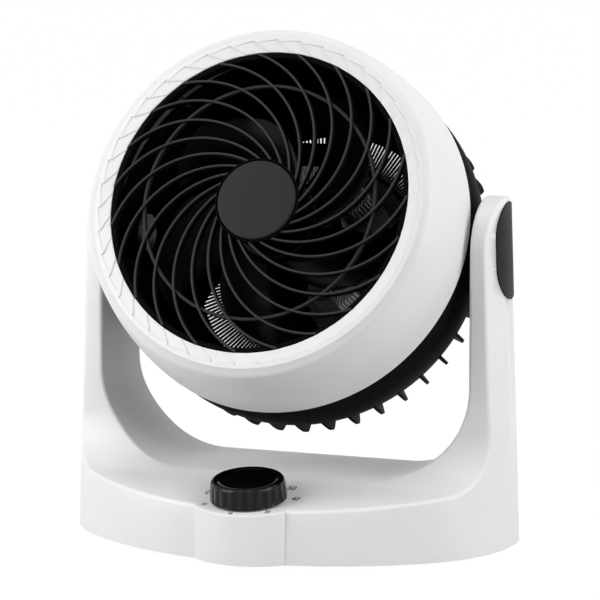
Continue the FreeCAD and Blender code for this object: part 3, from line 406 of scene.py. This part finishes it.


# Rows of the bowl as radius and height, from the seam over the front to the inside.
# With them go each row's weights: the border's step, the facet's height, the slant and the line's colour, which is
# painted shade: full at the border, half at the ring's edge and faint from the ring over the band.
def bowlRows(b):
    (r0, z0), (r1, z1) = b["seam"], b["front"]
    t = np.linspace(0, 1, 16)
    swell = b["swell"] * 4 * t * (1 - t)
    outer = np.stack([r0 + (r1 - r0) * t + swell, z0 + (z1 - z0) * t + b["swellRise"] * swell], -1)
    edge = roundedLine([(*b["front"], 0), b["corner"], (*b["ring"], 0)], 7)[1:]
    inward = np.array([0.0, 0.05, 0.2, 0.4, 0.6, 0.8, 1.0])
    bandStart = b["border"] - b["bandInset"]
    band = np.stack([bandStart + (b["inner"] - bandStart) * inward,
                     b["bandFront"] + (b["bandBack"] - b["bandFront"]) * inward], -1)
    lip = np.array([[b["lipRadius"], b["bandBack"] - b["lipDrop"]], [b["lipRadius"], b["lipBack"]]])
    t = np.linspace(1, 0, 8)
    swell = b["innerSwell"] * 4 * t * (1 - t)
    inside = np.stack([r0 - b["wall"] + (r1 - r0) * t + swell, z0 + (z1 - z0) * t], -1)
    (ringRadius, ringHeight), (edgeOut, edgeUp) = b["ring"], b["borderEdge"]
    back = np.array([[ringRadius, ringHeight - b["ringDepth"]]])
    seam = np.array([[r0 - b["seamEdge"], z0]])
    flat = np.array([[ringRadius - b["ringFlat"], ringHeight], [b["border"] + edgeOut, b["bandFront"] + edgeUp]])
    rows = np.concatenate([seam, outer, edge, flat, band, lip, back, inside])
    bandFirst = len(seam) + len(outer) + len(edge) + len(flat)
    bandEnd = bandFirst + len(band)
    # Painted shade along the rows, carried in the line attribute.
    line = np.zeros(len(rows))
    line[bandFirst - 6:bandEnd] = b["frontShade"]
    line[bandFirst - 3], line[bandFirst] = b["ringShade"], 1
    step = np.zeros(len(rows))
    step[bandFirst - 1] = 1
    step[bandFirst:bandEnd] = 1 - inward
    lift = np.zeros(len(rows))
    lift[bandFirst:bandEnd] = 1
    lift[bandEnd] = 0.5
    slant = np.zeros(len(rows))
    slant[:bandFirst] = 1
    slant[bandFirst:bandEnd] = 1 - inward
    return rows, step, lift, slant, line


# With u from 0 to 1 across a facet: r = row - step u, z = row - (low + (high - low) u), angle = facet + u + slant.
def bowlGrid(b):
    rows, step, lift, slant, line = bowlRows(b)
    u = np.array([0.0, 0.03, 0.14, 0.26, 0.38, 0.5, 0.62, 0.74, 0.86, 0.97])
    turnAt = (np.arange(b["facets"])[:, None] + u).reshape(-1, 1) * 2 * np.pi / b["facets"]
    u = np.tile(u, b["facets"])[:, None]
    radius = rows[:, 0] - b["stepBack"] * u * step
    height = rows[:, 1] - lift * (b["facetLow"] + (b["facetHigh"] - b["facetLow"]) * u)
    angle = turnAt + b["slant"] * slant
    # Each facet's first column takes the full painted shade, a dark edge between facets.
    shadeLines = np.maximum((u == 0) * (lift == 1), line)
    return np.stack([radius * np.cos(angle), radius * np.sin(angle), height], -1), shadeLines


bowlPoints, bowlShadeLines = bowlGrid(bowl)
gridPiece("frontBowl", [(aboutAxis(bowlPoints, headAxis), True, True)], "head", "bezelWhite",
          ("front_shell",), 28, bowlShadeLines)
print("bowl made")

# Spiral grille: curved ribs with rounded fronts, the rim, the ring behind the ribs and the cup for the disc.
grille = dict(ribs=23, curve=57.5, offset=42.5, start=21.9, end=120.3, width=1.5, taper=0.85, front=76.2, back=71.2,
              rim=[(84.4, 68.7, 0.2), (93.4, 68.7, 0.2), (93.4, 70.8, 0.2), (87.5, 70.8, 0.2), (87.5, 74.9, 0.6),
                   (84.4, 74.9, 0.9)],
              ring=[(67.0, 71.2, 0.3), (68.9, 71.2, 0.3), (68.9, 74.2, 0.5), (67.0, 74.2, 0.5)],
              cup=[(0.0, 71.2, 0), (24.5, 71.2, 0.4), (24.5, 76.9, 0.4), (23.6, 76.9, 0.3), (23.6, 74.2, 0.2),
                   (0.0, 74.2, 0)])


# Rib: its section goes along an arc about (-offset, 0): x = (curve + s) cos t - offset, y = (curve + s) sin t.
def ribGrid(g):
    t = np.radians(np.linspace(g["start"], g["end"], 56))[:, None]
    half = g["width"] / 2
    top = half * g["taper"]
    section = roundedLine([(-half, g["back"], 0), (-top, g["front"], 0.7), (top, g["front"], 0.7),
                           (half, g["back"], 0)], 4)
    reach = g["curve"] + section[:, 0]
    height = np.broadcast_to(section[:, 1], (len(t), len(section)))
    return around(np.stack([reach * np.cos(t) - g["offset"], reach * np.sin(t), height], -1), g["ribs"])


# A round part of the grille, turned from its section.
def ringPiece(name, line, steps, closed, finish):
    grid = aboutAxis(turned(roundedLine(line, 4, closed), steps), headAxis)
    return gridPiece(name, [(grid, True, closed)], "head", finish, ("front_grille",))


gridPiece("spiralRibs", [(aboutAxis(ribGrid(grille), headAxis), False, True)], "head", "ribBlack",
          ("front_grille",))
ringPiece("grilleRim", grille["rim"], 240, True, "rimShadeBlack")
ringPiece("grilleRing", grille["ring"], 180, True, "grilleBlack")
ringPiece("grilleCup", grille["cup"], 120, False, "rimShadeBlack")

# Disc in the grille's middle: slightly domed, with a soft edge.
disc = dict(line=[(0.0, 78.1, 0), (12.0, 78.0, 4.0), (22.4, 77.75, 0.8), (22.95, 76.9, 0.4), (22.95, 74.25, 0),
                  (0.0, 74.25, 0)])
gridPiece("hubDisc", [(aboutAxis(turned(roundedLine(disc["line"], 5), 120), headAxis), True, False)], "head",
          "discBlack", ("hub_disc",))
print("grille made")

# Fan: a cup hub and broad twisted blades. Sweep and phase bring the light spots near the photograph's.
fan = dict(blades=5, root=23.5, tip=80.0, rootHalf=25.0, midHalf=28.0, tipHalf=24.0, widest=0.6,
           rootPitch=36.0, tipPitch=25.0, middle=28.0, sweep=0.6, camber=2.6, thick=1.1, thinning=0.35,
           tipRound=0.03, cornerCut=5.0, cornerFrom=0.55, phase=0.7,
           hub=[(3.1, 12.0, 0), (7.0, 12.0, 0.3), (7.0, 41.4, 0.5), (22.6, 41.4, 0.5), (22.6, 12.0, 0.3),
                (25.0, 12.0, 0.4), (25.0, 44.0, 2.6), (3.1, 44.0, 0)])


# Blade: along r, a section of half width w and thickness h, with c from -1 to 1 across it, turned by the pitch p:
# arc = w c cos p + h sin p, z = middle - w c sin p + h cos p + camber (1 - c^2), angle = sweep s^2 + arc / r.
def bladeGrid(f):
    s = np.linspace(0, 1, 22)[:, None]
    c = np.linspace(0, 2 * np.pi, 44, endpoint=False)[None]
    radius = f["root"] + (f["tip"] - f["root"]) * s
    half = f["rootHalf"] + (f["midHalf"] - f["rootHalf"]) * np.sin(np.pi / 2 * np.minimum(s / f["widest"], 1))
    half = half + (f["tipHalf"] - f["midHalf"]) * smoothStep(f["widest"], 1.0, s)
    pitch = np.radians(f["rootPitch"] + (f["tipPitch"] - f["rootPitch"]) * s)
    across = np.cos(c)
    thick = f["thick"] * np.sign(np.sin(c)) * np.abs(np.sin(c)) ** 0.5 * (1 - f["thinning"] * s)
    atTip = ((s - 1) / f["tipRound"] + 1).clip(0, 1)
    thick = thick * np.sqrt(1 - atTip ** 2)
    arc = half * across * np.cos(pitch) + thick * np.sin(pitch)
    height = f["middle"] - half * across * np.sin(pitch) + thick * np.cos(pitch)
    height = height + f["camber"] * (1 - across ** 2)
    angle = f["sweep"] * s ** 2 + arc / radius
    radius = radius - f["cornerCut"] * smoothStep(f["cornerFrom"], 1.0, s) * np.abs(across) ** 5
    return around(np.stack([radius * np.cos(angle), radius * np.sin(angle), height], -1), f["blades"], f["phase"])


gridPiece("fanWheel", [(aboutAxis(bladeGrid(fan), headAxis), False, True),
                       (aboutAxis(turned(roundedLine(fan["hub"], 5, True), 96), headAxis), True, True)],
          "fan", "fanBlack", ("impeller",))
print("fan made")

# Rear guard: fine radial bars between rings, with a plate in the middle.
guard = dict(bars=216, innerBars=108, width=0.8, front=-41.8, back=-44.0, hub=32.0, waist=45.3, tie=58.7,
             tieHalf=1.2, rim=77.0, edge=89.0, overlap=0.5)


# Bar: a small upright block, r = first to last, y = -half to half, z = back to front.
def barGrid(g, count, first, last):
    half = g["width"] / 2
    section = np.array([(-half, g["back"]), (-half, g["front"]), (half, g["front"]), (half, g["back"])])
    radius, side, height = np.broadcast_arrays(np.array([first, last])[:, None], section[:, 0], section[:, 1])
    return around(np.stack([radius, side, height], -1), count)


# All grids of the guard: outer and inner bars, three rings and the plate.
def guardGrids(g):
    bars = [barGrid(g, g["bars"], g["waist"], g["rim"] + g["overlap"]),
            barGrid(g, g["innerBars"], g["hub"] - g["overlap"], g["waist"])]
    grids = [(aboutAxis(bar, headAxis), False, True) for bar in bars]
    back, front = g["back"], g["front"]
    ties = [(radius - g["tieHalf"], radius + g["tieHalf"]) for radius in (g["waist"], g["tie"])]
    for inner, outer in [(g["rim"], g["edge"])] + ties:
        line = [(inner, back, 0.4), (outer, back, 0.4), (outer, front, 0.4), (inner, front, 0.4)]
        grids.append((aboutAxis(turned(roundedLine(line, 3, True), 160), headAxis), True, True))
    middle = roundedLine([(0.0, back, 0), (g["hub"], back, 0.6), (g["hub"], front, 0.6), (0.0, front, 0)], 4)
    return grids + [(aboutAxis(turned(middle, 96), headAxis), True, False)]


gridPiece("rearGuard", guardGrids(guard), "head", "rearBlack", ("rear_grille",))

# Fins over the round back: outer edge as (radius, height). The inner edge is sunk in the wall, which is an arc.
fins = dict(count=42, half=0.95, sink=1.2, least=0.1, arc=58.49, arcCentre=(48.71, -5.0),
            outer=[(105.9, -15.0), (106.1, -18.0), (106.3, -24.0), (106.2, -30.0), (105.8, -34.0), (105.2, -36.5),
                   (103.2, -38.5), (98.0, -41.5), (91.6, -43.6)])


# Plate from r = arc - sink to r = outer, with y = -half to half, repeated about the axis.
def finGrid(f):
    outer, height = np.array(f["outer"]).T
    inner = f["arcCentre"][0] + np.sqrt(f["arc"] ** 2 - (height - f["arcCentre"][1]) ** 2) - f["sink"]
    inner = np.minimum(inner, outer - f["least"])
    radius = np.stack([inner, outer, outer, inner], -1)
    side = np.broadcast_to([-f["half"], -f["half"], f["half"], f["half"]], radius.shape)
    return around(np.stack([radius, side, np.broadcast_to(height[:, None], radius.shape)], -1), f["count"])


gridPiece("rearFins", [(aboutAxis(finGrid(fins), headAxis), False, True)], "head", "rearBlack")

# Bare plate on the back of the guard, where such heaters carry their rating label.
plate = dict(left=-50.0, right=2.0, low=43.0, high=73.0, corner=3.0, front=-44.0, back=-44.5)


# Rounded outline (x, y) at two heights, closed to the middle of each side.
def plateGrid(p):
    outline = roundedLine([(p["left"], p["low"], p["corner"]), (p["right"], p["low"], p["corner"]),
                           (p["right"], p["high"], p["corner"]), (p["left"], p["high"], p["corner"])], 5, True)
    middle = np.broadcast_to(outline.mean(0), outline.shape)
    rows = [np.column_stack([line, np.full(len(line), p[side])])
            for line, side in ((middle, "front"), (outline, "front"), (outline, "back"), (middle, "back"))]
    return np.stack(rows)


gridPiece("ratingPlate", [(aboutAxis(plateGrid(plate), headAxis), False, True)], "head", "capBlack")
print("guard made")

# Knob: broad shallow flutes between a round bottom edge and a soft shoulder, with a dished top.
knob = dict(flutes=24, fluteSteps=16, depth=0.4, low=0.8, high=11.2, fade=1.0, skirt=19.8, skirtCorner=6,
            line=[(0.0, 11.4, 0), (15.6, 11.45, 1.8), (17.4, 12.45, 0.8), (19.6, 12.55, 1.0), (20.8, 11.5, 0.9),
                  (21.05, 9.5, 0.5), (21.7, 0.8, 0.5), (18.9, 0.8, 0.4), (17.8, 10.2, 0.6), (6.5, 10.2, 0.3),
                  (6.5, 4.0, 0.3), (3.05, 4.0, 0.2), (3.05, 10.6, 0.2), (0.0, 10.6, 0)])


# r = line - depth * (1 + cos nt) / 2 on the skirt; the flutes fade out at its top and bottom.
def knobGrid(k):
    corners, at = k["line"], k["skirtCorner"]
    (topRadius, top, _), (lowRadius, low, _) = corners[at - 1:at + 1]
    skirt = [(topRadius + (lowRadius - topRadius) * t, top + (low - top) * t, 0) for t in (0.2, 0.5, 0.8)]
    line = roundedLine(corners[:at] + skirt + corners[at:], 5)
    grid = turned(line, k["fluteSteps"] * k["flutes"])
    t = np.linspace(0, 2 * np.pi, len(grid), endpoint=False)[:, None]
    flute = (1 + np.cos(k["flutes"] * t)) / 2
    height = line[:, 1]
    onSkirt = (line[:, 0] > k["skirt"]) * smoothStep(k["low"], k["low"] + k["fade"], height)
    onSkirt = onSkirt * (1 - smoothStep(k["high"] - k["fade"], k["high"], height))
    radius = np.hypot(grid[..., 0], grid[..., 1])
    scale = 1 - k["depth"] * flute * onSkirt / np.maximum(radius, 1)
    return grid * np.stack([scale, scale, np.ones_like(scale)], -1)


gridPiece("selectorKnob", [(aboutAxis(knobGrid(knob), knobAxis), True, False)], "knob", "knobBlack",
          ("selector_knob",), 40)
print("knob made")

# Housings that keep the solids' own form, joined up and shaded smooth.
yokeHousing = smoothCopy("yokeHousing", "yoke_shell", "base", "whiteShell", 24)
smoothCopy("rearHousing", "rear_shell", "head", "rearBlack", 28)
smoothCopy("leftCap", "pivot_cap_left", "base", "capBlack", 30, 0.5)
smoothCopy("rightCap", "pivot_cap_right", "base", "capBlack", 30, 0.5)
print("housings made")

# Front of the bulge under the knob, broader and crisper than the housing's own, with its top level with the deck.
apron = dict(half=26.4, apex=-92.75, radius=38.57, bottom=3.0, depth=7.0, edge=0.9, deck=(-76.0, 34.15),
             slope=0.1495)


# y = apex + radius - sqrt(radius^2 - x^2). Each section goes up the front, round the edge and back along the deck.
def apronGrid(a):
    x = np.linspace(-a["half"], a["half"], 61)
    front = a["apex"] + a["radius"] - np.sqrt(a["radius"] ** 2 - x ** 2)
    t = np.linspace(0, np.pi / 2, 6)
    back = np.concatenate([[a["depth"], 0], a["edge"] * (1 - np.cos(t)), [a["depth"]]])
    drop = np.concatenate([[0, 0], a["edge"] * (1 - np.sin(t)), [0]])
    y = front[:, None] + back
    z = a["deck"][1] + (y - a["deck"][0]) * a["slope"] - drop
    z[:, :2] = a["bottom"]
    grid = np.stack([np.broadcast_to(x[:, None], y.shape), y, z], -1)
    ends = [np.broadcast_to(grid[k].mean(0), grid[k].shape) for k in (0, -1)]
    return np.concatenate([ends[:1], grid, ends[1:]]) * mm


knobApron = gridPiece("knobApron", [(apronGrid(apron), False, True)], "base", "whiteShell")
print("apron made")

# Plain numbers round the knob as (mark, angle, radius, height), laid on the deck and read from the front.
dial = dict(marks=[("0", 168, 27.4, 6.0), ("10", -150, 25.5, 3.8), ("20", -95, 23.5, 2.8), ("30", -44, 24.2, 3.6),
                   ("40", 13, 26.4, 5.6), ("50", 51, 28.2, 6.0)],
            capital=0.7, narrow=0.6, weight=0.13, thickness=0.06, above=1.5)


# Each mark is flat text made mesh, dropped on the deck or on the bulge's front and given a thickness.
def dialMarks(d, deck, front):
    for mark, angle, radius, height in d["marks"]:
        text = bpy.data.curves.new("mark" + mark, "FONT")
        text.body = mark
        text.size = height * mm / d["capital"]
        text.align_x = "CENTER"
        text.align_y = "CENTER"
        text.offset = d["weight"] * mm
        maker = bpy.data.objects.new("maker", text)
        mesh = bpy.data.meshes.new_from_object(maker)
        bpy.data.objects.remove(maker)
        points = np.zeros(len(mesh.vertices) * 3)
        mesh.vertices.foreach_get("co", points)
        points = points.reshape(-1, 3) / mm * [d["narrow"], 1, 0]
        centre = [radius * math.cos(math.radians(angle)), radius * math.sin(math.radians(angle)), d["above"]]
        mesh.vertices.foreach_set("co", aboutAxis(points + centre, knobAxis).ravel())
        piece = finishPiece("mark" + mark, mesh, "base", "printGrey")
        lay = piece.modifiers.new("layOnDeck", "SHRINKWRAP")
        lay.target = deck
        lay.auxiliary_target = front
        lay.wrap_method = "PROJECT"
        lay.use_project_z = True
        lay.use_positive_direction = False
        lay.use_negative_direction = True
        ink = piece.modifiers.new("ink", "SOLIDIFY")
        ink.thickness = d["thickness"] * mm
        ink.offset = 1


dialMarks(dial, yokeHousing, knobApron)
print("marks made")

# Studio: white to the camera and in reflections, plain soft light for everything else.
studio = dict(camera=dict(azimuth=20.13, elevation=8.69, distance=1.85, look=(0.0012, 0.01305, 0.1369), lens=192.0),
              ambient=0.24, floorHalf=6.0, floorGrey=0.45, floorGlow=0.93, floorLight=1.06, middle=(0.0, 0.0, 0.15),
              lamps=[("leftBox", (-0.62, -0.60, 0.42), (0.55, 0.8), 6.2),
                     ("rightBox", (1.5, -0.25, 0.8), (1.0, 1.5), 19.5),
                     ("topBox", (-0.1, -0.2, 1.7), (1.4, 1.2), 9.5)])


# 1 for rays that should see the plain white surroundings.
def seenRays(paint):
    path = paint.tree.nodes.new("ShaderNodeLightPath")
    rays = [Wire(paint, path.outputs[name]) for name in ("Is Camera Ray", "Is Glossy Ray", "Is Transmission Ray")]
    return paint.node("ShaderNodeMath", {"operation": "MINIMUM"}, {0: rays[0] + rays[1] + rays[2], 1: 1.0})


def makeFloor(s):
    half = s["floorHalf"]
    mesh = bpy.data.meshes.new("floor")
    mesh.from_pydata([(-half, -half, 0), (half, -half, 0), (half, half, 0), (-half, half, 0)], [], [(0, 1, 2, 3)])
    paint = Paint("floorPaper")
    paint.feed(Base_Color=(*grey(s["floorGrey"]), 1), Roughness=0.9)
    lit = paint.node("ShaderNodeEmission", None, {"Color": (1, 1, 1, 1), "Strength": s["floorLight"]})
    plain = Wire(paint, paint.shader.outputs[0])
    mixed = paint.node("ShaderNodeMixShader", None, {0: seenRays(paint) * s["floorGlow"], 1: plain, 2: lit})
    paint.join(paint.tree.nodes["Material Output"].inputs["Surface"], mixed)
    mesh.materials.append(paint.material)
    floor = bpy.data.objects.new("floor", mesh)
    bpy.context.scene.collection.objects.link(floor)


def makeWorld(ambient):
    world = bpy.data.worlds.new("studioWorld")
    world.use_nodes = True
    bpy.context.scene.world = world
    paint = Paint.__new__(Paint)
    paint.tree = world.node_tree
    background = paint.tree.nodes["Background"]
    background.inputs["Color"].default_value = (1, 1, 1, 1)
    paint.join(background.inputs["Strength"], seenRays(paint) * (1 - ambient) + ambient)


def aim(holder, place, target):
    holder.location = place
    holder.rotation_euler = (Vector(target) - Vector(place)).to_track_quat("-Z", "Y").to_euler()


def makeLamps(lamps, target):
    for name, place, size, energy in lamps:
        light = bpy.data.lights.new(name, "AREA")
        light.shape = "RECTANGLE"
        light.size, light.size_y = size
        light.energy = energy
        lamp = bpy.data.objects.new(name, light)
        bpy.context.scene.collection.objects.link(lamp)
        aim(lamp, place, target)


def makeCamera(c):
    azimuth, elevation = math.radians(c["azimuth"]), math.radians(c["elevation"])
    back = Vector((math.sin(azimuth) * math.cos(elevation), -math.cos(azimuth) * math.cos(elevation),
                   math.sin(elevation)))
    view = bpy.data.cameras.new("photoCamera")
    view.sensor_width = 36.0
    view.lens = c["lens"]
    camera = bpy.data.objects.new("photoCamera", view)
    bpy.context.scene.collection.objects.link(camera)
    aim(camera, Vector(c["look"]) + back * c["distance"], c["look"])
    bpy.context.scene.camera = camera


makeFloor(studio)
makeWorld(studio["ambient"])
makeLamps(studio["lamps"], studio["middle"])
makeCamera(studio["camera"])
bpy.context.scene.view_settings.view_transform = "Standard"
print("studio made")
